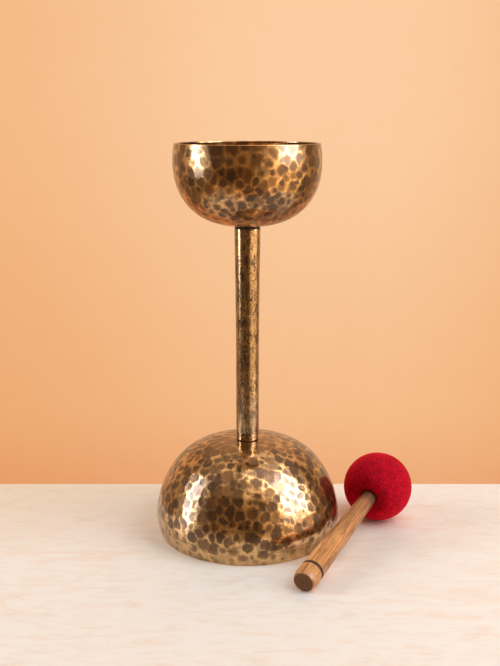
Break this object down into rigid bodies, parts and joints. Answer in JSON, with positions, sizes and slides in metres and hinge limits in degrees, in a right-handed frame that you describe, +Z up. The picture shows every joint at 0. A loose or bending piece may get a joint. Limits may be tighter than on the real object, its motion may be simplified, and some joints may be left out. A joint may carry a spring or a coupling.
{
  "type": "singing bowl on a stem",
  "caption": "Hammered singing bowl on a tall tube stem with an upturned bowl for its foot, and a felt ball mallet lying beside it.",
  "frame": {"origin": "On the surface that the set stands on, at the centre of the rectangle that the whole set covers, mallet included. The two bowls, the stem and the tie rod share one vertical axis at x -0.0383, y 0.0255.", "axes": "+Z is up along the stem, the set's longest side. The picture looks along +Y with +X to the right, so the mallet lies on the +X side with its butt towards -Y, the set's shortest side."},
  "size_m": [0.2569, 0.2314, 0.3786],
  "materials": {
    "hammered_bronze": "hammered, dark brown patina in the hammer marks, worn bright on the ridges",
    "dark_bronze": "drawn tube, streaky dark patina, satin",
    "turned_brass": "turned, lightly tarnished",
    "plated_steel": "zinc plated",
    "leather": "dark, plain",
    "oiled_wood": "turned, oiled, dark at the end grain and the groove",
    "core_wood": "turned, bare",
    "red_felt": "dense wool felt"
  },
  "bodies": {
    "bowl_stand": {"sound_bowl": "hammered_bronze", "foot_bowl": "hammered_bronze", "stem_tube": "dark_bronze", "stem_collar": "dark_bronze", "stem_bush": "turned_brass", "tie_rod": "plated_steel", "seat_leather": "leather", "inner_leather": "leather", "cup_washer": "turned_brass", "cap_nut": "turned_brass", "foot_gasket": "leather", "wide_washer": "plated_steel", "split_washer": "plated_steel", "hex_nut": "plated_steel"},
    "mallet": {"mallet_handle": "oiled_wood", "mallet_core": "core_wood", "mallet_felt": "red_felt"}
  },
  "joints": [
    {"name": "mallet_lift", "type": "slide", "parent": "bowl_stand", "child": "mallet", "axis": [0, 0, 1], "range_m": [0, 0.4]}
  ]
}
